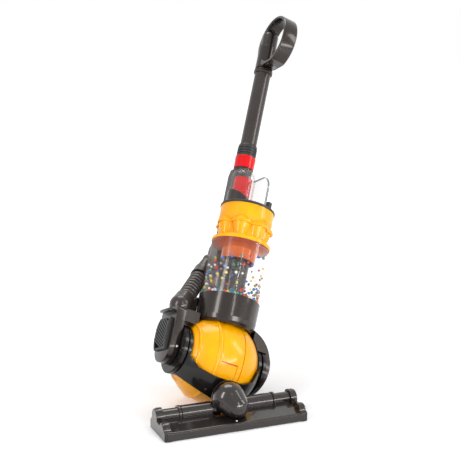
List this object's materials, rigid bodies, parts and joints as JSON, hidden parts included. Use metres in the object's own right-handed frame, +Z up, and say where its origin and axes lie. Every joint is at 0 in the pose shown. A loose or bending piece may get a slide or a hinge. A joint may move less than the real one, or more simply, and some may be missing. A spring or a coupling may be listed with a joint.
{
  "type": "toy_upright_vacuum_cleaner",
  "caption": "Toy ball-type upright vacuum cleaner with steering yoke, clear bead-filled dust bin, cyclone tower, ribbed hose and loop handle, shown leaning in use",
  "frame": {"origin": "middle of the floor head's sole, on the floor", "axes": "X to the right of someone standing behind it, Y backward from the floor head to the ball, Z up"},
  "size_m": [0.3702, 0.4089, 0.6101],
  "materials": {
    "charcoal_gloss": "glossy moulded charcoal plastic",
    "charcoal_satin": "satin moulded charcoal plastic",
    "black_matte": "matte black plastic",
    "yellow_gloss": "glossy warm yellow plastic",
    "red_gloss": "glossy red plastic",
    "clear_plastic": "clear moulded plastic",
    "smoke_plastic": "smoke-grey translucent plastic",
    "hose_rubber": "soft black ribbed hose",
    "steel": "plain steel",
    "cell_jacket": "foil battery jacket",
    "fan_white": "white fan plastic",
    "bead_red": "red bead",
    "bead_blue": "blue bead",
    "bead_green": "blue-green bead",
    "bead_yellow": "yellow bead",
    "bead_white": "white bead"
  },
  "bodies": {
    "floor_head": {"head_shell": "charcoal_gloss", "sole_plate": "black_matte", "end_cap_left": "charcoal_gloss", "end_cap_right": "charcoal_gloss", "sole_screws": "steel", "hinge_pin": "steel"},
    "neck": {"neck_dome": "charcoal_gloss", "neck_flange": "charcoal_gloss", "neck_spigot": "steel"},
    "yoke": {"yoke_cradle": "charcoal_gloss", "pivot_pin_left": "steel", "pivot_pin_right": "steel"},
    "ball": {"ball_drum": "yellow_gloss", "ball_left_shell": "yellow_gloss", "ball_right_shell": "yellow_gloss", "ball_hatch": "yellow_gloss"},
    "body": {"body_frame": "charcoal_satin", "battery_cells": "cell_jacket", "battery_door": "charcoal_satin", "side_box": "charcoal_satin", "side_grille": "black_matte", "speaker": "black_matte", "hose_lower_cuff": "charcoal_satin", "hose": "hose_rubber", "hose_upper_cuff": "charcoal_satin", "bin_cup": "charcoal_gloss", "motor": "steel", "bin_floor": "black_matte", "bin_clear": "clear_plastic", "inner_column": "smoke_plastic", "beads_red": "bead_red", "beads_blue": "bead_blue", "beads_green": "bead_green", "beads_yellow": "bead_yellow", "beads_white": "bead_white", "cyclone_skirt": "yellow_gloss", "cyclone_body": "yellow_gloss", "cyclone_ring": "black_matte", "tower_base": "charcoal_gloss", "wand_socket": "black_matte", "red_sleeve": "red_gloss", "visor": "clear_plastic", "red_cap": "red_gloss", "ribbed_collar": "black_matte", "wand": "charcoal_gloss", "handle_ring": "charcoal_gloss", "handle_loop": "charcoal_gloss", "handle_grip": "black_matte"},
    "bead_fan": {"bead_fan": "fan_white"},
    "power_key": {"power_key": "black_matte"}
  },
  "joints": [
    {"name": "neck_pitch", "type": "hinge", "parent": "floor_head", "child": "neck", "pos_m": [0, 0.014, 0.0228], "axis": [-1, 0, 0], "range_deg": [0, 8]},
    {"name": "yoke_swivel", "type": "hinge", "parent": "neck", "child": "yoke", "pos_m": [0, 0.02, 0.041], "axis": [0, 1, 0], "range_deg": [-48, 1.7]},
    {"name": "ball_roll", "type": "hinge", "parent": "yoke", "child": "ball", "pos_m": [0.01227, 0.0949, 0.0695], "axis": [0.9184, 0, -0.3955], "continuous": true},
    {"name": "body_recline", "type": "hinge", "parent": "yoke", "child": "body", "pos_m": [0.01227, 0.0949, 0.0695], "axis": [-0.9184, 0, 0.3955], "range_deg": [-22.7, 37]},
    {"name": "fan_spin", "type": "hinge", "parent": "body", "child": "bead_fan", "pos_m": [0.04702, 0.1181, 0.15019], "axis": [0.3649, 0.3859, 0.8473], "continuous": true},
    {"name": "key_press", "type": "slide", "parent": "body", "child": "power_key", "axis": [-0.3649, -0.3859, -0.8473], "range_m": [0, 0.0025], "stiffness_N_per_m": 400}
  ]
}
